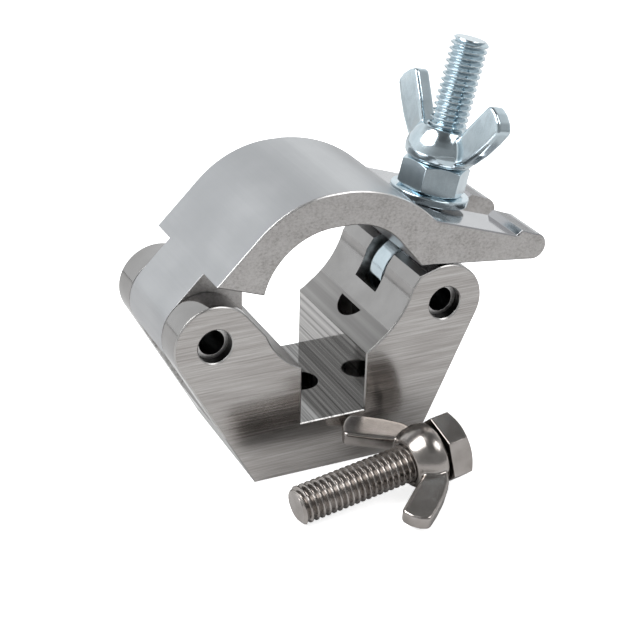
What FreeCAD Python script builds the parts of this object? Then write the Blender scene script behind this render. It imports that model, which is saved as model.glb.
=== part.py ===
import FreeCAD, Part
import math
import os

# Pipe clamp: a machined aluminium body with a hinged arm over the tube seat, a swing
# eyebolt that locks the arm, and a loose fixing bolt with its own wing nut.
# Millimetres.  The origin is the centre of the tube seat, half way along it.
# +X runs from the hinge to the eyebolt, +Y runs along the tube, +Z is up.

TUBE_R = 25.0            # tube seat radius, for 48 to 51 mm tube
WIDTH = 52.8             # body and arm width along the tube
FACE_CHAMFER = 0.4       # broken edge round both flat faces

PIN_X = 40.9             # hinge pin at -PIN_X, eyebolt pin at +PIN_X
PIN_Z = -8.7
PIN_R = 5.75
PIN_WALL = 1.45
PIN_LENGTH = 46.0
PIN_SLIT = 1.6
LUG_R = 13.7
RUN = 0.08               # radial running clearance of a moving piece on its pin

BASE_Z = -62.0           # resting face under the body
BASE_LEFT = -27.2
BASE_RIGHT = 32.0
CHANNEL_LEFT = -10.9     # bolt head channel
CHANNEL_RIGHT = 12.3
CHANNEL_Z = -43.0
FIX_X = 0.7              # fixing hole through the channel floor
FIX_R = 6.5

TONGUE_HALF = 15.0       # hinge tongue of the arm, half width
HINGE_SLOT_HALF = 15.4
EYE_HALF = 6.5           # eye of the eyebolt, half thickness
EYE_SLOT_HALF = 7.5
EYE_SLOT_R = 16.2        # the slot's floor is round about the eyebolt pin
EYE_R = 12.6
ARM_SLOT_HALF = 7.2

ARM_R = 36.5             # outside of the arm over the tube
ARM_STEP = 4.3           # the arm's inner arc is in two halves, this far apart

LEAN = math.radians(13.4)    # the eyebolt leans outwards by this
BOLT_R = 6.35                # half inch thread, major radius
BOLT_END = 83.0              # thread end, measured from the eye
NUT_RUN = 0.06
WASHER_AT = 27.9             # stations along the eyebolt, from the eye
WASHER_R = 13.7
WASHER_T = 2.8
NUT_AF = 20.8
NUT_T = 10.0
NUT_TURN = 42.0          # rotation of the hexagon nut about the eyebolt, degrees

HEAD_T = 7.8
HEAD_TURN = 12.0
SHANK = 52.0             # fixing bolt, under the head
FIX_TIP = (-24.75, -53.4, -55.65)    # centre of its thread end, lying in front
FIX_TURN = math.radians(3.4)
FIX_RISE = math.radians(6.8)
FIX_ROLL = -14.0         # roll of the fixing wing nut about its bolt, degrees
FIX_NUT_AT = 51.2        # base of that nut, from the thread end
FIX_NUT_SCALE = 0.92


def tangent(corner, side):
    """Point where a line from a base corner touches the lug circle on that side."""
    cx, cz = side * PIN_X, PIN_Z
    dx, dz = corner[0] - cx, corner[1] - cz
    reach = math.hypot(dx, dz)
    angle = math.atan2(dz, dx) + side * math.acos(LUG_R / reach)
    return (cx + LUG_R * math.cos(angle), cz + LUG_R * math.sin(angle))


def on_circle(cx, cz, radius, degrees):
    a = math.radians(degrees)
    return (cx + radius * math.cos(a), cz + radius * math.sin(a))


def outline(start, path):
    """Closed wire in the XZ plane; each step is an end point, or (middle, end) for an arc."""
    here = FreeCAD.Vector(start[0], 0, start[1])
    edges = []
    for step in path:
        if isinstance(step[0], tuple):
            mid = FreeCAD.Vector(step[0][0], 0, step[0][1])
            end = FreeCAD.Vector(step[1][0], 0, step[1][1])
            edges.append(Part.Arc(here, mid, end).toShape())
        else:
            end = FreeCAD.Vector(step[0], 0, step[1])
            edges.append(Part.makeLine(here, end))
        here = end
    return Part.Wire(edges)


def prism(start, path, half):
    """The outline swept along Y from -half to +half."""
    solid = Part.Face(outline(start, path)).extrude(FreeCAD.Vector(0, 2 * half, 0))
    solid.translate(FreeCAD.Vector(0, -half, 0))
    return solid


def broken_prism(start, path, half):
    """The same sweep with the edges of its front and back faces broken."""
    solid = prism(start, path, half - FACE_CHAMFER)
    wire = outline(start, path)
    inner = wire.makeOffset2D(-FACE_CHAMFER, 2, False, False)
    for side in (-1, 1):
        root = wire.copy()
        root.translate(FreeCAD.Vector(0, side * (half - FACE_CHAMFER), 0))
        rim = inner.copy()
        rim.translate(FreeCAD.Vector(0, side * half, 0))
        solid = solid.fuse(Part.makeLoft([root, rim], True, True))
    return solid


def rod_y(x, z, radius, half):
    return Part.makeCylinder(radius, 2 * half, FreeCAD.Vector(x, -half, z),
                             FreeCAD.Vector(0, 1, 0))


def hole_y(x, z, radius):
    """Pin hole along Y with its two rims broken."""
    hole = rod_y(x, z, radius, WIDTH)
    depth = FACE_CHAMFER
    for side in (-1, 1):
        cone = Part.makeCone(radius + depth, radius, depth,
                             FreeCAD.Vector(x, side * WIDTH / 2, z),
                             FreeCAD.Vector(0, -side, 0))
        hole = hole.fuse(cone)
    return hole


def make_body():
    left_foot = (BASE_LEFT, BASE_Z)
    right_foot = (BASE_RIGHT, BASE_Z)
    left_side = tangent(left_foot, -1)
    right_side = tangent(right_foot, 1)
    seat_left = on_circle(0, 0, TUBE_R, 200)
    seat_left_low = (CHANNEL_LEFT, -math.sqrt(TUBE_R ** 2 - CHANNEL_LEFT ** 2))
    seat_right_low = (CHANNEL_RIGHT, -math.sqrt(TUBE_R ** 2 - CHANNEL_RIGHT ** 2))
    seat_right = on_circle(0, 0, TUBE_R, -48)
    body = broken_prism(left_foot, [
        right_foot,
        right_side,
        (on_circle(PIN_X, PIN_Z, LUG_R, 30), on_circle(PIN_X, PIN_Z, LUG_R, 100)),
        (31.2, 2.6),
        (28.7, -1.2),
        ((23.7, -11.6), seat_right),
        (on_circle(0, 0, TUBE_R, -54), seat_right_low),
        (CHANNEL_RIGHT, CHANNEL_Z),
        (CHANNEL_LEFT, CHANNEL_Z),
        seat_left_low,
        (on_circle(0, 0, TUBE_R, 220), seat_left),
        on_circle(-PIN_X, PIN_Z, LUG_R, 40),
        (on_circle(-PIN_X, PIN_Z, LUG_R, 120), left_side),
        left_foot,
    ], WIDTH / 2)

    knuckle = LUG_R + 0.6
    hinge_slot = rod_y(-PIN_X, PIN_Z, knuckle, HINGE_SLOT_HALF)
    hinge_slot = hinge_slot.fuse(prism((-PIN_X + knuckle, PIN_Z), [
        (-PIN_X + knuckle, 12.0),
        (-65.0, 12.0),
        (-65.0, -44.0),
        (-37.0, -44.0),
        on_circle(-PIN_X, PIN_Z, knuckle, -62),
        (-PIN_X, PIN_Z),
        (-PIN_X + knuckle, PIN_Z),
    ], HINGE_SLOT_HALF))

    slot_edge = on_circle(PIN_X, PIN_Z, EYE_SLOT_R, 176)
    eye_slot = prism((slot_edge[0], 12.0), [
        slot_edge,
        (on_circle(PIN_X, PIN_Z, EYE_SLOT_R, 225), on_circle(PIN_X, PIN_Z, EYE_SLOT_R, 270)),
        (65.0, PIN_Z - EYE_SLOT_R),
        (65.0, 12.0),
        (slot_edge[0], 12.0),
    ], EYE_SLOT_HALF)

    drill = FreeCAD.Vector(math.cos(math.radians(-34.4)), 0, math.sin(math.radians(-34.4)))
    relief = Part.makeCylinder(EYE_SLOT_HALF, 12.0, drill * (TUBE_R - 6.0), drill)
    relief = relief.common(prism(on_circle(0, 0, 10.0, -39.5), [
        on_circle(0, 0, 45.0, -39.5),
        on_circle(0, 0, 45.0, -70),
        on_circle(0, 0, 10.0, -70),
        on_circle(0, 0, 10.0, -39.5),
    ], WIDTH))

    fixing = Part.makeCylinder(FIX_R, 30.0, FreeCAD.Vector(FIX_X, 0, BASE_Z - 5))
    for cut in (hinge_slot, eye_slot, relief, fixing,
                hole_y(-PIN_X, PIN_Z, PIN_R), hole_y(PIN_X, PIN_Z, PIN_R)):
        body = body.cut(cut)
    return body.removeSplitter()


def make_arm():
    seat_left = on_circle(0, 0, TUBE_R, 166.4)
    skin_top = on_circle(0, 0, ARM_R, 135)
    skin_low = (-40.2, 51.6186 - 40.2)
    arm = broken_prism((31.3, 6.5), [
        (73.1, 1.7),
        ((78.9, 5.3), (75.0, 10.7)),
        (69.2, 12.9),
        (67.2, 11.3),
        (36.3, 21.4),
        (34.8, 22.7),
        ((22.0, 31.9), (ARM_STEP, ARM_R)),
        (0.0, ARM_R),
        (on_circle(0, 0, ARM_R, 112), skin_top),
        skin_low,
        seat_left,
        (on_circle(0, 0, TUBE_R, 130), (0.0, TUBE_R)),
        (ARM_STEP, TUBE_R),
        (on_circle(ARM_STEP, 0, TUBE_R, 64), on_circle(ARM_STEP, 0, TUBE_R, 39)),
        (31.3, 6.5),
    ], WIDTH / 2)

    tongue = rod_y(-PIN_X, PIN_Z, LUG_R, TONGUE_HALF)
    tongue = tongue.fuse(prism((-PIN_X, PIN_Z), [
        (-PIN_X + LUG_R, PIN_Z),
        (-PIN_X + LUG_R, 8.0),
        (-33.0, 14.0),
        skin_low,
        on_circle(-PIN_X, PIN_Z, LUG_R, 135),
        (-PIN_X, PIN_Z),
    ], TONGUE_HALF))
    arm = arm.fuse(tongue)
    arm = arm.cut(rod_y(-PIN_X, PIN_Z, PIN_R + RUN, WIDTH))

    slot = Part.makeCylinder(ARM_SLOT_HALF, 60.0)
    slot = slot.fuse(Part.makeBox(60.0, 2 * ARM_SLOT_HALF, 60.0,
                                  FreeCAD.Vector(0, -ARM_SLOT_HALF, 0)))
    spot_face = Part.makeCylinder(WASHER_R + 0.4, 20.0)
    arm = arm.cut(on_eyebolt(slot, 0.0))
    arm = arm.cut(on_eyebolt(spot_face, WASHER_AT - 0.05))
    return arm.removeSplitter()


def on_eyebolt(shape, station):
    """Put a piece modelled on +Z onto the eyebolt's axis at this station."""
    along = FreeCAD.Vector(math.sin(LEAN), 0, math.cos(LEAN))
    spot = FreeCAD.Vector(PIN_X, 0, PIN_Z) + along * station
    turn = FreeCAD.Rotation(FreeCAD.Vector(0, 1, 0), math.degrees(LEAN))
    moved = shape.copy()
    moved.Placement = FreeCAD.Placement(spot, turn).multiply(moved.Placement)
    return moved


def on_fixing_bolt(shape, station, roll):
    """Put a piece modelled on +Z onto the fixing bolt, +Z towards its thread end."""
    toward_tip = FreeCAD.Vector(-math.cos(FIX_RISE) * math.cos(FIX_TURN),
                                -math.cos(FIX_RISE) * math.sin(FIX_TURN),
                                -math.sin(FIX_RISE))
    side = FreeCAD.Vector(math.sin(FIX_TURN), -math.cos(FIX_TURN), 0)
    across = side.cross(toward_tip)
    turn = FreeCAD.Rotation(across, side, toward_tip, "ZYX")
    turn = turn.multiply(FreeCAD.Rotation(FreeCAD.Vector(0, 0, 1), roll))
    spot = FreeCAD.Vector(*FIX_TIP) - toward_tip * station
    moved = shape.copy()
    moved.Placement = FreeCAD.Placement(spot, turn).multiply(moved.Placement)
    return moved


def make_pin(x, gap_angle):
    """Rolled spring pin: a slit tube, a little shorter than the body is wide."""
    pin = rod_y(x, PIN_Z, PIN_R, PIN_LENGTH / 2)
    pin = pin.cut(rod_y(x, PIN_Z, PIN_R - PIN_WALL, PIN_LENGTH))
    slit = Part.makeBox(2 * PIN_R, 2 * PIN_LENGTH, PIN_SLIT,
                        FreeCAD.Vector(0, -PIN_LENGTH, -PIN_SLIT / 2))
    slit.Placement = FreeCAD.Placement(
        FreeCAD.Vector(x, 0, PIN_Z),
        FreeCAD.Rotation(FreeCAD.Vector(0, 1, 0), -gap_angle)).multiply(slit.Placement)
    return pin.cut(slit)


def make_eyebolt():
    """Eye at the origin of the bolt axis, thread up +Z."""
    eye = rod_y(0, 0, EYE_R, EYE_HALF)
    eye = eye.common(Part.makeSphere(EYE_R + 0.9))
    shank = Part.makeCylinder(BOLT_R, BOLT_END - 1.2)
    tip = Part.makeCone(BOLT_R, BOLT_R - 1.1, 1.2, FreeCAD.Vector(0, 0, BOLT_END - 1.2))
    bolt = eye.fuse(shank).fuse(tip)
    bolt = bolt.cut(rod_y(0, 0, PIN_R + RUN, WIDTH))
    return on_eyebolt(bolt.removeSplitter(), 0.0)


def hexagon(across_flats, height, chamfer_top, chamfer_base):
    corner = across_flats / math.sqrt(3)
    points = [FreeCAD.Vector(corner * math.cos(k * math.pi / 3),
                             corner * math.sin(k * math.pi / 3), 0) for k in range(7)]
    blank = Part.Face(Part.makePolygon(points)).extrude(FreeCAD.Vector(0, 0, height))
    flat = across_flats / 2
    for used, z, way in ((chamfer_base, 0, 1), (chamfer_top, height, -1)):
        if used:
            cone = Part.makeCone(flat * 0.97, flat * 0.97 + height / math.tan(math.radians(30)),
                                 height, FreeCAD.Vector(0, 0, z), FreeCAD.Vector(0, 0, way))
            blank = blank.common(cone)
    return blank


def make_hex_nut():
    nut = hexagon(NUT_AF, NUT_T, True, True)
    nut = nut.cut(Part.makeCylinder(BOLT_R + NUT_RUN, 3 * NUT_T, FreeCAD.Vector(0, 0, -NUT_T)))
    nut.rotate(FreeCAD.Vector(0, 0, 0), FreeCAD.Vector(0, 0, 1), NUT_TURN)
    return on_eyebolt(nut, WASHER_AT + WASHER_T)


def make_washer():
    washer = Part.makeCylinder(WASHER_R, WASHER_T)
    washer = washer.cut(Part.makeCylinder(BOLT_R + 0.4, WASHER_T))
    rims = [e for e in washer.Edges if e.Length > 2 * math.pi * (WASHER_R - 0.5)]
    return on_eyebolt(washer.makeChamfer(0.5, rims), WASHER_AT)


def wing_nut(scale):
    """Wing nut on +Z, base at z = 0, wings along +Y and -Y."""
    bore = BOLT_R + NUT_RUN
    top = 11.6 * scale
    start = FreeCAD.Vector(bore, 0, 0)
    rim = FreeCAD.Vector(10.9 * scale, 0, 0)
    belly = FreeCAD.Vector(12.0 * scale, 0, 3.4 * scale)
    shoulder = FreeCAD.Vector(11.4 * scale, 0, 6.8 * scale)
    curl = FreeCAD.Vector(10.1 * scale, 0, 9.3 * scale)
    neck = FreeCAD.Vector(8.3 * scale, 0, top)
    mouth = FreeCAD.Vector(bore, 0, top)
    profile = Part.Wire([
        Part.makeLine(start, rim),
        Part.Arc(rim, belly, shoulder).toShape(),
        Part.Arc(shoulder, curl, neck).toShape(),
        Part.makeLine(neck, mouth),
        Part.makeLine(mouth, start),
    ])
    nut = Part.Face(profile).revolve(FreeCAD.Vector(0, 0, 0), FreeCAD.Vector(0, 0, 1), 360)
    half = 2.9 * scale
    for side in (-1, 1):
        corners = [(5.0, 0.8), (9.8, 0.8), (15.8, 4.2), (24.2, 14.0), (27.4, 18.9),
                   (19.2, 25.2), (5.0, 7.6)]
        points = [FreeCAD.Vector(-half, side * y * scale, z * scale)
                  for y, z in corners + corners[:1]]
        wing = Part.Face(Part.makePolygon(points)).extrude(FreeCAD.Vector(2 * half, 0, 0))
        edges = [e for e in wing.Edges if abs(e.Vertexes[0].Z - e.Vertexes[-1].Z) > 0.5
                 and e.BoundBox.XLength < 1e-6]
        wing = wing.makeFillet(1.0 * scale, edges)
        nut = nut.fuse(wing)
    nut = nut.cut(Part.makeCylinder(bore, 3 * top, FreeCAD.Vector(0, 0, -top)))
    return nut.removeSplitter()


def make_wing_nut():
    nut = wing_nut(1.0)
    nut.rotate(FreeCAD.Vector(0, 0, 0), FreeCAD.Vector(0, 0, 1), 7.7)
    return on_eyebolt(nut, WASHER_AT + WASHER_T + NUT_T + 0.4)


def make_fixing_bolt():
    """Hexagon head bolt: thread end at z = 0, head down at -SHANK, on its own axis."""
    tip = Part.makeCone(BOLT_R - 1.1, BOLT_R, 1.2, FreeCAD.Vector(0, 0, 0),
                        FreeCAD.Vector(0, 0, -1))
    shank = Part.makeCylinder(BOLT_R, SHANK - 1.2, FreeCAD.Vector(0, 0, -SHANK))
    head = hexagon(NUT_AF, HEAD_T, True, False)
    head.rotate(FreeCAD.Vector(0, 0, 0), FreeCAD.Vector(1, 0, 0), 180)
    head.rotate(FreeCAD.Vector(0, 0, 0), FreeCAD.Vector(0, 0, 1), HEAD_TURN)
    head.translate(FreeCAD.Vector(0, 0, -SHANK))
    return on_fixing_bolt(head.fuse(shank).fuse(tip).removeSplitter(), 0.0, 0.0)


def main():
    pieces = {
        "body": make_body(),
        "arm": make_arm(),
        "hinge_pin": make_pin(-PIN_X, 140.0),
        "eyebolt_pin": make_pin(PIN_X, 140.0),
        "eyebolt": make_eyebolt(),
        "flat_washer": make_washer(),
        "hex_nut": make_hex_nut(),
        "wing_nut": make_wing_nut(),
        "fixing_bolt": make_fixing_bolt(),
        "fixing_wing_nut": on_fixing_bolt(wing_nut(FIX_NUT_SCALE), FIX_NUT_AT, FIX_ROLL),
    }
    os.makedirs("parts", exist_ok=True)
    for name, shape in pieces.items():
        shape.exportStep("parts/" + name + ".step")


main()
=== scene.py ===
import math

import bmesh
import bpy
from mathutils import Matrix, Vector


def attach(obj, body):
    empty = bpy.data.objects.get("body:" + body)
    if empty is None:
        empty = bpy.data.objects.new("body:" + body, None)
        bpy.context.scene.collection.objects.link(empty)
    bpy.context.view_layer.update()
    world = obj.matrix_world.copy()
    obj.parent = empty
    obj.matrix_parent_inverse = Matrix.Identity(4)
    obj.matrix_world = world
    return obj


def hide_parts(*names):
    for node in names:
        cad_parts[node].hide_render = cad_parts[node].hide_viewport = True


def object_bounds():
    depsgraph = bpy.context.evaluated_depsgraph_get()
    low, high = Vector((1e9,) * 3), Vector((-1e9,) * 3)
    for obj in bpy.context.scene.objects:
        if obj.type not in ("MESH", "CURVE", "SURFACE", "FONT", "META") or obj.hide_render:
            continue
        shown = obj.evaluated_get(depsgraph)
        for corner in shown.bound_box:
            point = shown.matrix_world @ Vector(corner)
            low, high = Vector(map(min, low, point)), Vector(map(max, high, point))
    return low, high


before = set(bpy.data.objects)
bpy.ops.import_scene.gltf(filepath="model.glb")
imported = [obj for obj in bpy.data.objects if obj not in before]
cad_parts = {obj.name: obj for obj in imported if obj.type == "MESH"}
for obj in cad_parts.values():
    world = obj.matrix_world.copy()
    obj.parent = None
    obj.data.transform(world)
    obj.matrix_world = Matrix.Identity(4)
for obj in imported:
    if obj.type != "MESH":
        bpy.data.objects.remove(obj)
cad_low, cad_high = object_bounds()

MM = 0.001

# Bolt hardware, in millimetres, as in the CAD model. Places along the eyebolt are measured
# from the middle of its pin.
BOLT_R = 6.35
PITCH = 25.4 / 12            # half inch Whitworth: twelve threads to the inch
THREAD_DEPTH = 0.64 * PITCH
BORE_R = 6.55
TIP_CHAMFER = 1.1
EYE_PIVOT = (40.9, 0.0, -8.7)
LEAN = math.radians(13.4)
BOLT_END = 83.0
NECK_END = 20.5              # plain neck above the eye
EYE_R = 12.6
EYE_HALF = 6.5
EYE_HOLE_R = 5.85
WASHER_AT = 27.9
WASHER_R = 13.7
WASHER_T = 2.8
NUT_AF = 20.8
NUT_T = 10.0
NUT_TURN = math.radians(42.0)
WING_TURN = math.radians(7.7)
WING_GAP = 0.4
WING_AT = WASHER_AT + WASHER_T + NUT_T + WING_GAP
WING_T = 5.9
CHAMFER_FROM = 0.97          # share of a hexagon's half width where its chamfer starts

HEAD_T = 7.8
HEAD_TURN = math.radians(12.0)
SHANK = 52.0
FIX_TIP = (-24.75, -53.4, -55.65)    # middle of the loose bolt's thread end
FIX_TURN = math.radians(3.4)         # its axis, turned from X about Z
FIX_RISE = math.radians(6.8)         # its head end is the higher one
FIX_ROLL = math.radians(-14.0)       # the wing nut's turn about that axis
FIX_NUT_AT = 51.2                    # from the thread's end back to the wing nut's base
FIX_NUT_SCALE = 0.92

# Where the finish, the painted shade and the painted sheen change on the body and the arm, in
# millimetres.
SLOT_WALLS = 20.0            # faces across the tube nearer the middle than this
# Below this height the channel floor is painted darker as shade.
CHANNEL_FLOOR = -42.8
CHANNEL_TOP = -21.5
CHANNEL_HALF = 14.5
SEAT_REACH = 25.6
# Inside this radius the pin holes are painted near black as shade.
PIN_BORE = 5.9
RECESS_FROM = 34.5
# Middle of the lighter band painted along the arm's top as a sheen.
CROWN_SHEEN_X = 7.0

# Thread form, as shares of half a pitch: the flat crest, the flank, and the rest is root.
CREST = 0.26
FLANK = 0.64
CREST_TRIM = 0.02            # keeps the crests just inside the bore and the size

# Camera, in millimetres and degrees from the seat's centre.
CAMERA_AT = (-201.869, -428.626, 219.359)
CAMERA_YAW = math.radians(26.08)
CAMERA_PITCH = math.radians(26.73)
CAMERA_ROLL = math.radians(1.61)
LENS = 88.261875
SENSOR = 36.0

SHEET_REACH = 2600.0         # how far the sheets that only reflections see go out


# ---------------------------------------------------------------- mesh helpers

def mesh_object(name, bm, matrix=None):
    """A new object from a bmesh modelled in millimetres about its own axis."""
    bmesh.ops.recalc_face_normals(bm, faces=bm.faces)
    mesh = bpy.data.meshes.new(name)
    bm.to_mesh(mesh)
    bm.free()
    mesh.transform(Matrix.Scale(MM, 4))
    obj = bpy.data.objects.new(name, mesh)
    bpy.context.scene.collection.objects.link(obj)
    if matrix is not None:
        obj.matrix_world = matrix
    return obj


def applied(obj):
    """Replace the object's mesh with the result of its modifiers."""
    depsgraph = bpy.context.evaluated_depsgraph_get()
    mesh = bpy.data.meshes.new_from_object(obj.evaluated_get(depsgraph))
    obj.modifiers.clear()
    obj.data = mesh
    return obj


def combine(obj, other, operation):
    """Boolean with another object, which is used up."""
    other.matrix_world = obj.matrix_world
    change = obj.modifiers.new("combine", "BOOLEAN")
    change.operation = operation
    change.object = other
    change.solver = "EXACT"
    applied(obj)
    bpy.data.objects.remove(other)
    return obj


def soften(obj, width, segments=3):
    """Round every edge sharper than 40 degrees."""
    bevel = obj.modifiers.new("soften", "BEVEL")
    bevel.width = width * MM
    bevel.segments = segments
    bevel.limit_method = "ANGLE"
    bevel.angle_limit = math.radians(40)
    bevel.use_clamp_overlap = True
    return applied(obj)


def smooth_cast(obj, voxel, rounds):
    """Blend the shape as a casting: remesh it evenly, then relax the surface."""
    remesh = obj.modifiers.new("cast", "REMESH")
    remesh.mode = "VOXEL"
    remesh.voxel_size = voxel * MM
    relax = obj.modifiers.new("relax", "SMOOTH")
    relax.factor = 0.5
    relax.iterations = rounds
    return applied(obj)


def shade(obj, degrees=40):
    """Smooth shading with the edges sharper than this angle kept sharp, and flat faces
    kept flat beside their rounded edges."""
    bm = bmesh.new()
    bm.from_mesh(obj.data)
    for face in bm.faces:
        face.smooth = True
    limit = math.radians(degrees)
    for edge in bm.edges:
        edge.smooth = edge.calc_face_angle(0.0) < limit
    bm.to_mesh(obj.data)
    bm.free()
    weigh = obj.modifiers.new("weigh", "WEIGHTED_NORMAL")
    weigh.keep_sharp = True
    return applied(obj)


def lathe(profile, steps=96):
    """Turn a closed profile of (radius, height) about Z; points on the axis close it."""
    bm = bmesh.new()
    rings = []
    for radius, height in profile:
        if radius < 1e-6:
            rings.append([bm.verts.new((0, 0, height))])
            continue
        rings.append([bm.verts.new((radius * math.cos(2 * math.pi * k / steps),
                                    radius * math.sin(2 * math.pi * k / steps), height))
                      for k in range(steps)])
    pairs = list(zip(rings, rings[1:]))
    starts_on_axis = len(rings[0]) == 1
    if not starts_on_axis:
        pairs.append((rings[-1], rings[0]))
    for low, high in pairs:
        for k in range(steps):
            after = (k + 1) % steps
            corners = [low[k % len(low)], low[after % len(low)],
                       high[after % len(high)], high[k % len(high)]]
            unique = list(dict.fromkeys(corners))
            if len(unique) > 2:
                bm.faces.new(unique)
    return bm


def prism(points, low, high):
    """Polygon in XY raised along Z."""
    bm = bmesh.new()
    bottom = [bm.verts.new((x, y, low)) for x, y in points]
    top = [bm.verts.new((x, y, high)) for x, y in points]
    bm.faces.new(bottom)
    bm.faces.new(top)
    for k in range(len(points)):
        after = (k + 1) % len(points)
        bm.faces.new((bottom[k], bottom[after], top[after], top[k]))
    return bm


def thread(low, high):
    """Right hand thread on Z from low to high, with a chamfer at the high end. Each ring of
    the grid is one turn of a helix, which the ring a whole pitch further on carries on."""
    around = 56
    rows = 10
    bm = bmesh.new()
    count = int((high - low) / PITCH * rows) + 3 * rows
    grid = []
    for i in range(count):
        phase = (i % rows) / rows
        ramp = 1 - abs(2 * phase - 1)
        cut = min(1.0, max(0.0, (ramp - CREST) / FLANK))
        ring = []
        for j in range(around):
            angle = 2 * math.pi * j / around
            height = low - 1.5 * PITCH + PITCH * (i / rows + j / around)
            radius = BOLT_R - CREST_TRIM - THREAD_DEPTH * cut
            radius = min(radius, BOLT_R - TIP_CHAMFER + max(0.0, high - height))
            ring.append(bm.verts.new((radius * math.cos(angle),
                                      radius * math.sin(angle), height)))
        grid.append(ring)
    for i in range(count - rows - 1):
        for j in range(around):
            if j + 1 < around:
                ahead = grid[i][j + 1], grid[i + 1][j + 1]
            else:
                ahead = grid[i + rows][0], grid[i + rows + 1][0]
            bm.faces.new((grid[i][j], ahead[0], ahead[1], grid[i + 1][j]))
    for height, outward in ((low, -1), (high, 1)):
        everything = list(bm.verts) + list(bm.edges) + list(bm.faces)
        bmesh.ops.bisect_plane(bm, geom=everything, plane_co=(0, 0, height),
                               plane_no=(0, 0, outward), clear_outer=True)
        rim = [e for e in bm.edges if e.is_boundary
               and all(abs(v.co.z - height) < 1e-4 for v in e.verts)]
        bmesh.ops.contextual_create(bm, geom=rim)
    loose = [v for v in bm.verts if not v.link_faces]
    bmesh.ops.delete(bm, geom=loose, context="VERTS")
    return bm


# ---------------------------------------------------------------- placements

def on_eyebolt(station, turn=0.0):
    """Where a piece modelled on +Z sits on the eyebolt's axis."""
    tilt = Matrix.Rotation(LEAN, 4, "Y")
    along = tilt @ Vector((0, 0, 1))
    spot = (Vector(EYE_PIVOT) + along * station) * MM
    return Matrix.Translation(spot) @ tilt @ Matrix.Rotation(turn, 4, "Z")


def on_fixing_bolt(station, roll=0.0):
    """Where a piece modelled on +Z sits on the fixing bolt, +Z towards its thread end."""
    toward_tip = Vector((-math.cos(FIX_RISE) * math.cos(FIX_TURN),
                         -math.cos(FIX_RISE) * math.sin(FIX_TURN),
                         -math.sin(FIX_RISE)))
    side = Vector((math.sin(FIX_TURN), -math.cos(FIX_TURN), 0))
    across = side.cross(toward_tip)
    turn = Matrix((across, side, toward_tip)).transposed().to_4x4()
    spot = (Vector(FIX_TIP) - toward_tip * station) * MM
    return Matrix.Translation(spot) @ turn @ Matrix.Rotation(roll, 4, "Z")


# ---------------------------------------------------------------- hardware pieces

def hexagon(name, across_flats, height, chamfer_base, matrix):
    """Hexagon with 30 degree chamfers, its edges left sharp for the caller to round."""
    corner = across_flats / math.sqrt(3)
    flat = across_flats / 2 * CHAMFER_FROM
    points = [(corner * math.cos(k * math.pi / 3), corner * math.sin(k * math.pi / 3))
              for k in range(6)]
    blank = mesh_object(name, prism(points, -1 if chamfer_base else 0, height + 1), matrix)
    rise = (corner + 1 - flat) * math.tan(math.radians(30))
    if chamfer_base:
        start = [(0, 0), (flat, 0), (corner + 1, rise)]
    else:
        start = [(0, -1), (corner + 1, -1)]
    profile = start + [(corner + 1, height - rise), (flat, height), (0, height)]
    cone = mesh_object("cone", lathe(profile, 192))
    return combine(blank, cone, "INTERSECT")


def bored(obj, low, high, mouth):
    """Cut the bolt's bore through a nut, countersunk at both ends."""
    tool = mesh_object("tool", lathe([
        (0, low - 2), (BORE_R + mouth + 2, low - 2), (BORE_R, low + mouth),
        (BORE_R, high - mouth), (BORE_R + mouth + 2, high + 2), (0, high + 2)], 96))
    return combine(obj, tool, "DIFFERENCE")


def make_hex_nut():
    nut = hexagon("hex_nut_detail", NUT_AF, NUT_T, True,
                  on_eyebolt(WASHER_AT + WASHER_T, NUT_TURN))
    nut = bored(nut, 0, NUT_T, 0.7)
    return shade(soften(nut, 0.35, 5), 24)


def make_washer():
    inner = BOLT_R + 0.4
    ring = lathe([(inner, 0), (WASHER_R, 0), (WASHER_R, WASHER_T), (inner, WASHER_T)], 128)
    washer = mesh_object("flat_washer_detail", ring, on_eyebolt(WASHER_AT))
    return shade(soften(washer, 0.55, 4))


def make_wing_nut(name, scale, matrix):
    """Forged wing nut: a turned boss with two leaning wings blended into it."""
    top = 11.6
    boss = mesh_object(name, lathe([
        (0, 0), (11.0, 0), (11.8, 1.1), (12.2, 3.0), (12.1, 4.8), (11.6, 6.6), (10.6, 8.6),
        (9.5, 10.3), (8.4, top), (0, top)], 128), matrix)
    for side in (-1, 1):
        outline = [(5.0, 0.5), (9.6, 0.5), (15.8, 3.7), (20.6, 8.6), (24.6, 13.8),
                   (27.4, 18.2), (27.5, 19.4), (26.2, 21.8), (23.8, 24.0), (21.2, 25.3),
                   (19.6, 25.2), (13.4, 16.6), (8.6, 9.2), (5.0, 8.0)]
        wing = mesh_object("wing", prism([(y * side, z) for y, z in outline],
                                         -WING_T / 2, WING_T / 2))
        wing.data.transform(Matrix.Rotation(math.radians(90), 4, "X"))
        wing.data.transform(Matrix.Rotation(math.radians(90), 4, "Z"))
        wing = soften(wing, 0.9, 4)
        boss = combine(boss, wing, "UNION")
    boss.data.transform(Matrix.Scale(scale, 4))
    boss = smooth_cast(boss, 0.36, 5)
    boss = bored(boss, 0, top * scale, 0.5)
    return shade(boss)


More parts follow.
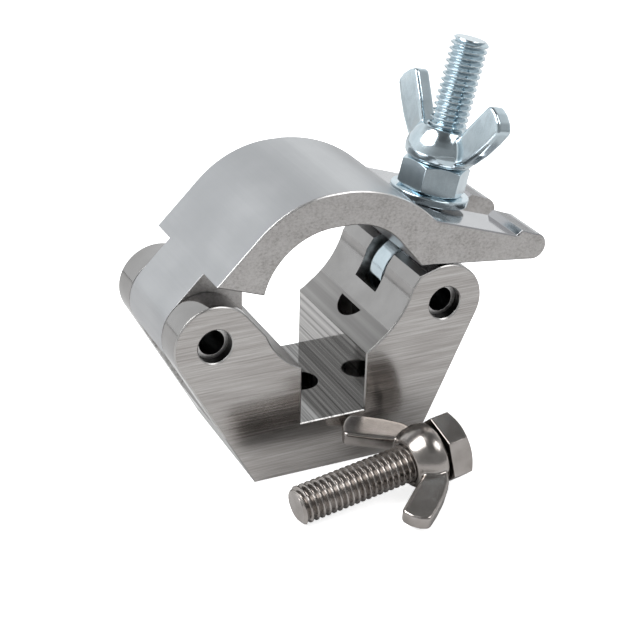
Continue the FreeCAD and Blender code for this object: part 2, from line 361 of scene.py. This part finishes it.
def make_eyebolt():
    """Forged eye and neck, then the thread."""
    place = on_eyebolt(0.0)
    rim = EYE_HALF - 2.2
    eye = mesh_object("eyebolt_threaded", lathe([
        (0, -EYE_HALF), (EYE_R - 3.0, -EYE_HALF), (EYE_R - 1.0, -EYE_HALF + 0.7),
        (EYE_R, -rim), (EYE_R, rim), (EYE_R - 1.0, EYE_HALF - 0.7),
        (EYE_R - 3.0, EYE_HALF), (0, EYE_HALF)], 96), place)
    eye.data.transform(Matrix.Rotation(math.radians(90), 4, "X"))
    neck = mesh_object("neck", lathe([
        (0, 0), (BOLT_R, 0), (BOLT_R, NECK_END), (BOLT_R - 1.4, NECK_END + 1.4),
        (0, NECK_END + 1.4)], 96))
    eye = combine(eye, neck, "UNION")
    eye = smooth_cast(eye, 0.4, 8)
    hole = mesh_object("hole", lathe([(0, -20), (EYE_HOLE_R, -20), (EYE_HOLE_R, 20),
                                      (0, 20)], 96))
    hole.data.transform(Matrix.Rotation(math.radians(90), 4, "X"))
    eye = combine(eye, hole, "DIFFERENCE")
    screw = mesh_object("screw", thread(NECK_END - 1.0, BOLT_END))
    return shade(combine(eye, screw, "UNION"))


def make_fixing_bolt():
    """Hexagon head under the thread, which runs the whole shank."""
    head = hexagon("fixing_bolt_threaded", NUT_AF, HEAD_T, False, on_fixing_bolt(0.0))
    head.data.transform(Matrix.Rotation(HEAD_TURN, 4, "Z") @ Matrix.Rotation(math.pi, 4, "X"))
    head.data.transform(Matrix.Translation((0, 0, -SHANK * MM)))
    head = soften(head, 0.35, 5)
    screw = mesh_object("screw", thread(-SHANK - 1.0, 0.0))
    return shade(combine(head, screw, "UNION"), 24)


# ---------------------------------------------------------------- materials

class Surface:
    """A node material on one Principled shader, with short calls to add nodes."""

    def __init__(self, name, color, metallic, roughness):
        self.material = bpy.data.materials.new(name)
        self.material.use_nodes = True
        self.tree = self.material.node_tree
        self.shader = self.tree.nodes["Principled BSDF"]
        self.shader.inputs["Base Color"].default_value = (*color, 1)
        self.shader.inputs["Metallic"].default_value = metallic
        self.shader.inputs["Roughness"].default_value = roughness
        self.place = self.node("ShaderNodeTexCoord")

    def node(self, kind, **settings):
        made = self.tree.nodes.new(kind)
        for key, value in settings.items():
            setattr(made, key, value)
        return made

    def link(self, source, target):
        self.tree.links.new(source, target)

    def noise(self, stretch, detail=3.0, rough=0.55, scale=1.0):
        """Noise in object space, stretch being its frequency per metre on each axis."""
        spread = self.node("ShaderNodeMapping")
        spread.inputs["Scale"].default_value = stretch
        self.link(self.place.outputs["Object"], spread.inputs["Vector"])
        grain = self.node("ShaderNodeTexNoise")
        grain.inputs["Scale"].default_value = scale
        grain.inputs["Detail"].default_value = detail
        grain.inputs["Roughness"].default_value = rough
        self.link(spread.outputs["Vector"], grain.inputs["Vector"])
        return grain.outputs["Fac"]

    def ramp(self, value, stops):
        """Color ramp from (position, color) pairs."""
        ramp = self.node("ShaderNodeValToRGB")
        band = ramp.color_ramp
        while len(band.elements) < len(stops):
            band.elements.new(0.5)
        for element, (position, color) in zip(band.elements, stops):
            element.position = position
            element.color = (*color, 1)
        self.link(value, ramp.inputs["Fac"])
        return ramp.outputs["Color"]

    def span(self, value, low, high, start=0.3, end=0.7):
        """Map a value between start and end to low to high."""
        made = self.node("ShaderNodeMapRange")
        made.inputs["From Min"].default_value = start
        made.inputs["From Max"].default_value = end
        made.inputs["To Min"].default_value = low
        made.inputs["To Max"].default_value = high
        self.link(value, made.inputs["Value"])
        return made.outputs["Result"]

    def mix(self, factor, first, second):
        """Blend two colors or values by a factor socket."""
        made = self.node("ShaderNodeMix", data_type="RGBA")
        self.link(factor, made.inputs["Factor"])
        self.link(first, made.inputs["A"])
        self.link(second, made.inputs["B"])
        return made.outputs["Result"]

    def math(self, operation, first, second):
        made = self.node("ShaderNodeMath", operation=operation)
        for socket, value in zip(made.inputs, (first, second)):
            if isinstance(value, (int, float)):
                socket.default_value = value
            else:
                self.link(value, socket)
        return made.outputs["Value"]

    def distance(self, first, second):
        """Distance from an axis, from the two coordinates across it."""
        squares = [self.math("MULTIPLY", value, value) for value in (first, second)]
        return self.math("SQRT", self.math("ADD", *squares), 0.0)

    def position(self):
        """The three object coordinates, in metres."""
        parts = self.node("ShaderNodeSeparateXYZ")
        self.link(self.place.outputs["Object"], parts.inputs["Vector"])
        return [parts.outputs[axis] for axis in "XYZ"]

    def cut_masks(self):
        """Masks of the faces cut square across the extrusion and of their broken edges."""
        parts = self.node("ShaderNodeSeparateXYZ")
        self.link(self.place.outputs["Normal"], parts.inputs["Vector"])
        size = self.math("ABSOLUTE", parts.outputs["Y"], 0.0)
        sawn = self.math("GREATER_THAN", size, 0.93)
        edge = self.math("SUBTRACT", self.math("GREATER_THAN", size, 0.4), sawn)
        return sawn, edge

    def relief(self, value, depth, strength, edge=0.0):
        """Bump from a height value, with edges rounded over this radius."""
        bump = self.node("ShaderNodeBump")
        bump.inputs["Strength"].default_value = strength
        bump.inputs["Distance"].default_value = depth * MM
        self.link(value, bump.inputs["Height"])
        if edge:
            round_edge = self.node("ShaderNodeBevel", samples=6)
            round_edge.inputs["Radius"].default_value = edge * MM
            self.link(round_edge.outputs["Normal"], bump.inputs["Normal"])
        self.link(bump.outputs["Normal"], self.shader.inputs["Normal"])


def body_aluminium():
    """Brushed end faces with level streaks, a satin seat, polished drawn surfaces with die
    lines along Y, strongest in the channel, a channel floor painted darker as shade,
    chamfered edges painted lighter as a highlight, and pin holes painted near black as shade."""
    s = Surface("body_aluminium", (0.42, 0.40, 0.39), 1.0, 0.15)
    sawn, edge = s.cut_masks()
    x, y, z = s.position()
    aside = s.math("ABSOLUTE", x, 0.0)
    cheek = s.math("LESS_THAN", s.math("ABSOLUTE", y, 0.0), SLOT_WALLS * MM)
    floor = s.math("LESS_THAN", z, CHANNEL_FLOOR * MM)
    seat = s.math("LESS_THAN", s.distance(x, z), SEAT_REACH * MM)
    from_pin = s.distance(s.math("SUBTRACT", aside, EYE_PIVOT[0] * MM),
                          s.math("SUBTRACT", z, EYE_PIVOT[2] * MM))
    bore = s.math("LESS_THAN", from_pin, PIN_BORE * MM)
    channel = s.math("MULTIPLY", s.math("LESS_THAN", aside, CHANNEL_HALF * MM),
                     s.math("LESS_THAN", z, CHANNEL_TOP * MM))
    streaks = s.noise((40, 300, 1900), 5.0, 0.65)
    wear = s.noise((25, 40, 240), 3.0, 0.6)
    lines = s.noise((1100, 5, 1100), 4.0, 0.6)
    broad = s.noise((320, 3, 320), 3.0, 0.6)
    cloud = s.noise((70, 70, 70), 3.0)
    brushed = s.math("ADD", s.math("MULTIPLY", streaks, 0.7), s.math("MULTIPLY", wear, 0.3))
    front = s.ramp(brushed, [(0.36, (0.33, 0.308, 0.295)), (0.5, (0.45, 0.43, 0.415)),
                             (0.62, (0.57, 0.552, 0.538))])
    satin = s.ramp(broad, [(0.30, (0.235, 0.227, 0.223)), (0.5, (0.285, 0.277, 0.272)),
                           (0.7, (0.36, 0.352, 0.345))])
    bright = s.ramp(cloud, [(0.3, (0.32, 0.312, 0.307)), (0.7, (0.39, 0.382, 0.377))])
    milled = s.ramp(broad, [(0.36, (0.42, 0.415, 0.41)), (0.62, (0.80, 0.79, 0.78))])
    # The channel floor is painted darker as shade.
    painted_channel_floor_shade = s.ramp(lines, [(0.36, (0.10, 0.098, 0.095)), (0.46, (0.22, 0.216, 0.212)),
                         (0.62, (0.33, 0.325, 0.32))])
    drawn = s.ramp(lines, [(0.36, (0.20, 0.195, 0.19)), (0.46, (0.46, 0.45, 0.445)),
                           (0.62, (0.60, 0.59, 0.58))])
    drawn = s.mix(floor, drawn, painted_channel_floor_shade)
    color = s.mix(seat, s.mix(channel, bright, drawn), satin)
    # Near black painted inside the pin holes as shade.
    painted_bore_shade = s.ramp(cloud, [(0.3, (0.002, 0.002, 0.002)), (0.7, (0.008, 0.008, 0.008))])
    color = s.mix(bore, color, painted_bore_shade)
    front = s.mix(cheek, front, milled)
    sheen = s.mix(cheek, s.span(brushed, 0.13, 0.24), s.span(lines, 0.42, 0.3))
    # Chamfered edges, except on the channel floor, painted lighter as a highlight.
    painted_edge_highlight = s.ramp(cloud, [(0.3, (0.44, 0.43, 0.42)), (0.7, (0.56, 0.55, 0.54))])
    edge = s.math("MULTIPLY", edge, s.math("SUBTRACT", 1.0, floor))
    color = s.mix(edge, color, painted_edge_highlight)
    s.link(s.mix(sawn, color, front), s.shader.inputs["Base Color"])
    gloss = s.mix(seat, s.mix(channel, s.span(cloud, 0.07, 0.14), s.span(lines, 0.12, 0.05)),
                  s.span(broad, 0.28, 0.34))
    gloss = s.mix(s.math("MAXIMUM", edge, bore), gloss, s.span(cloud, 0.3, 0.4))
    s.link(s.mix(sawn, gloss, sheen), s.shader.inputs["Roughness"])
    die = s.math("MULTIPLY", lines, s.span(channel, 0.25, 1.0, 0.0, 1.0))
    s.relief(s.mix(sawn, die, brushed), 0.03, 0.22, 0.25)
    return s.material


def arm_aluminium():
    """Finely mottled sawn end faces; satin drawn skin with a faint lighter band painted along
    the arm's top as a sheen, and chamfered edges painted lighter as a highlight; polished
    washer recess."""
    s = Surface("arm_aluminium", (0.42, 0.42, 0.43), 1.0, 0.32)
    sawn, edge = s.cut_masks()
    x = s.position()[0]
    recess = s.math("GREATER_THAN", x, RECESS_FROM * MM)
    grain = s.noise((900, 500, 1300), 6.0, 0.75)
    speck = s.noise((2600, 900, 2600), 3.0, 0.7)
    blotch = s.noise((160, 60, 190), 3.0)
    lines = s.noise((700, 6, 700), 3.0, 0.6)
    cloud = s.noise((45, 30, 45), 3.0, 0.5)
    pits = s.math("ADD", s.math("MULTIPLY", grain, 0.62), s.math("MULTIPLY", blotch, 0.22))
    pits = s.math("ADD", pits, s.math("MULTIPLY", speck, 0.16))
    front = s.ramp(pits, [(0.39, (0.345, 0.325, 0.315)), (0.48, (0.485, 0.468, 0.457)),
                          (0.58, (0.58, 0.563, 0.552))])
    film = s.math("ADD", s.math("MULTIPLY", lines, 0.2), s.math("MULTIPLY", cloud, 0.8))
    # A lighter band painted along the arm's top as a sheen.
    crown_sheen_band = s.span(s.math("ABSOLUTE", s.math("SUBTRACT", x, CROWN_SHEEN_X * MM), 0.0),
                   0.3, 0.0, 0.001, 0.014)
    skin = s.ramp(s.math("ADD", film, crown_sheen_band), [
        (0.3, (0.405, 0.412, 0.424)), (0.5, (0.435, 0.442, 0.454)),
        (0.8, (0.53, 0.537, 0.547))])
    # Chamfered edges painted lighter as a highlight.
    painted_edge_highlight = s.ramp(cloud, [(0.35, (0.60, 0.59, 0.58)), (0.65, (0.72, 0.71, 0.70))])
    skin = s.mix(edge, skin, painted_edge_highlight)
    bright = s.ramp(cloud, [(0.35, (0.40, 0.40, 0.412)), (0.65, (0.48, 0.48, 0.492))])
    s.link(s.mix(sawn, s.mix(recess, skin, bright), front), s.shader.inputs["Base Color"])
    drawn = s.mix(recess, s.span(film, 0.28, 0.32), s.span(film, 0.07, 0.13))
    s.link(s.mix(sawn, drawn, s.span(pits, 0.34, 0.5)), s.shader.inputs["Roughness"])
    s.relief(s.mix(sawn, s.math("MULTIPLY", lines, 0.15), pits), 0.03, 0.3, 0.3)
    return s.material


def plated(name, dark, light, stain, gloss):
    """Plated steel: faint colour drift, fine scuffs and slightly uneven gloss."""
    s = Surface(name, light, 1.0, gloss[0])
    drift = s.noise((130, 130, 130), 3.0)
    scuffs = s.noise((900, 900, 300), 4.0, 0.65)
    s.link(s.ramp(drift, [(0.3, dark), (0.6, light), (0.8, stain)]),
           s.shader.inputs["Base Color"])
    s.link(s.span(scuffs, *gloss), s.shader.inputs["Roughness"])
    s.relief(scuffs, 0.008, 0.12, 0.12)
    return s.material


def pin_steel():
    """Blackened spring steel, with its end faces painted lighter as a highlight."""
    s = Surface("pin_steel", (0.2, 0.195, 0.19), 1.0, 0.4)
    sawn = s.cut_masks()[0]
    grain = s.noise((700, 200, 700), 4.0, 0.6)
    side = s.ramp(grain, [(0.3, (0.05, 0.05, 0.052)), (0.6, (0.11, 0.108, 0.11)),
                          (0.8, (0.22, 0.21, 0.20))])
    # End faces painted lighter as a highlight.
    end = s.ramp(grain, [(0.3, (0.50, 0.49, 0.48)), (0.7, (0.72, 0.71, 0.70))])
    s.link(s.mix(sawn, side, end), s.shader.inputs["Base Color"])
    s.link(s.span(grain, 0.28, 0.42), s.shader.inputs["Roughness"])
    s.relief(grain, 0.02, 0.3, 0.2)
    return s.material


def paper():
    """Pale floor with the faintest tooth, which gives off some light to come out white."""
    s = Surface("floor_paper", (0.93, 0.93, 0.93), 0.0, 0.85)
    tooth = s.noise((300, 300, 300), 2.0)
    s.link(s.ramp(tooth, [(0.3, (0.92, 0.92, 0.92)), (0.7, (0.94, 0.94, 0.94))]),
           s.shader.inputs["Base Color"])
    s.shader.inputs["Emission Color"].default_value = (1, 1, 1, 1)
    s.shader.inputs["Emission Strength"].default_value = 0.75
    return s.material


def dress(obj, material):
    obj.data.materials.clear()
    obj.data.materials.append(material)


# ---------------------------------------------------------------- stage

def make_floor():
    size = 5000.0
    bm = bmesh.new()
    corners = [bm.verts.new((x * size, y * size, 0))
               for x, y in ((-1, -1), (1, -1), (1, 1), (-1, 1))]
    bm.faces.new(corners)
    floor = mesh_object("floor", bm, Matrix.Translation((0, 0, cad_low.z)))
    dress(floor, paper())


def flag(name, half_width, back, above, brightness):
    """Matte grey sheet just above the floor that only reflections see, so that the metal
    mirrors a dimmer floor than the camera shows. It runs forward from its back edge."""
    level = cad_low.z / MM + above
    bm = bmesh.new()
    corners = [bm.verts.new((x, y, level)) for x, y in (
        (-half_width, -SHEET_REACH), (half_width, -SHEET_REACH),
        (half_width, back), (-half_width, back))]
    bm.faces.new(corners)
    sheet = mesh_object(name, bm)
    s = Surface(name, (brightness,) * 3, 0.0, 0.9)
    s.shader.inputs["Specular IOR Level"].default_value = 0.0
    dress(sheet, s.material)
    sheet.visible_camera = False
    sheet.visible_diffuse = False
    sheet.visible_shadow = False


def make_camera():
    level = math.cos(CAMERA_PITCH)
    forward = Vector((math.sin(CAMERA_YAW) * level, math.cos(CAMERA_YAW) * level,
                      -math.sin(CAMERA_PITCH)))
    right = Vector((math.cos(CAMERA_YAW), -math.sin(CAMERA_YAW), 0))
    up = right.cross(forward)
    cosine, sine = math.cos(CAMERA_ROLL), math.sin(CAMERA_ROLL)
    right, up = right * cosine + up * sine, up * cosine - right * sine
    data = bpy.data.cameras.new("camera")
    data.sensor_width = SENSOR
    data.lens = LENS
    data.clip_start = 0.01
    data.clip_end = 50.0
    camera = bpy.data.objects.new("camera", data)
    turn = Matrix((right, up, -forward)).transposed().to_4x4()
    camera.matrix_world = Matrix.Translation(Vector(CAMERA_AT) * MM) @ turn
    bpy.context.scene.collection.objects.link(camera)
    bpy.context.scene.camera = camera


def softbox(name, spot, aim, size, power):
    """Round area lamp, in metres and watts."""
    data = bpy.data.lights.new(name, "AREA")
    data.shape = "DISK"
    data.size = size
    data.energy = power
    lamp = bpy.data.objects.new(name, data)
    lamp.location = spot
    lamp.rotation_mode = "QUATERNION"
    lamp.rotation_quaternion = (Vector(aim) - Vector(spot)).to_track_quat("-Z", "Y")
    bpy.context.scene.collection.objects.link(lamp)


def make_world():
    """Light tent open at the top: bright behind and at the sides, dim in front and
    overhead."""
    world = bpy.data.worlds.new("tent")
    bpy.context.scene.world = world
    world.use_nodes = True
    tree = world.node_tree
    place = tree.nodes.new("ShaderNodeTexCoord")
    parts = tree.nodes.new("ShaderNodeSeparateXYZ")
    tree.links.new(place.outputs["Generated"], parts.inputs["Vector"])
    strengths = []
    for axis, start, end, low, high in (("Y", -0.7, 0.5, 0.3, 1.0),
                                        ("Z", 0.55, 0.85, 1.0, 0.25)):
        fade = tree.nodes.new("ShaderNodeMapRange")
        fade.inputs["From Min"].default_value = start
        fade.inputs["From Max"].default_value = end
        fade.inputs["To Min"].default_value = low
        fade.inputs["To Max"].default_value = high
        tree.links.new(parts.outputs[axis], fade.inputs["Value"])
        strengths.append(fade.outputs["Result"])
    both = tree.nodes.new("ShaderNodeMath")
    both.operation = "MULTIPLY"
    tree.links.new(strengths[0], both.inputs[0])
    tree.links.new(strengths[1], both.inputs[1])
    sky = tree.nodes["Background"]
    sky.inputs["Color"].default_value = (0.97, 0.99, 1.0, 1)
    tree.links.new(both.outputs["Value"], sky.inputs["Strength"])


# ---------------------------------------------------------------- build

zinc = plated("bright_zinc", (0.52, 0.61, 0.66), (0.62, 0.715, 0.765), (0.70, 0.77, 0.80),
              (0.10, 0.18))
warm = plated("warm_plate", (0.32, 0.295, 0.275), (0.43, 0.40, 0.38), (0.52, 0.50, 0.48),
              (0.20, 0.25))
body_metal = body_aluminium()
arm_metal = arm_aluminium()
dark = pin_steel()

for node, finish in (("body", body_metal), ("arm", arm_metal),
                     ("hinge_pin", dark), ("eyebolt_pin", dark)):
    dress(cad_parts[node], finish)

hardware = (
    (make_eyebolt(), "eyebolt", "eyebolt", "bolt_zinc", zinc),
    (make_washer(), "nut_stack", "flat_washer", "nut_zinc", zinc),
    (make_hex_nut(), "nut_stack", "hex_nut", "nut_zinc", zinc),
    (make_wing_nut("wing_nut_forged", 1.0, on_eyebolt(WING_AT, WING_TURN)),
     "wing_nut", "wing_nut", "nut_zinc", zinc),
    (make_fixing_bolt(), "fixing_bolt", "fixing_bolt", "loose_steel", warm),
    (make_wing_nut("fixing_wing_nut_forged", FIX_NUT_SCALE,
                   on_fixing_bolt(FIX_NUT_AT, FIX_ROLL)),
     "fixing_wing_nut", "fixing_wing_nut", "loose_steel", warm),
)
for piece, body, node, slot, finish in hardware:
    dress(piece, finish)
    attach(piece, body)
    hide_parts(node)

make_floor()
make_camera()
make_world()
flag("floor_flag", SHEET_REACH, SHEET_REACH, 0.1, 0.62)
flag("front_flag", 900.0, -300.0, 0.2, 0.28)
softbox("key", (-0.95, 0.1, 1.3), (0, 0, 0), 1.3, 30)
softbox("rim", (0.8, -0.8, 1.25), (0, 0, 0), 0.9, 8)
bpy.context.scene.view_settings.view_transform = "Standard"
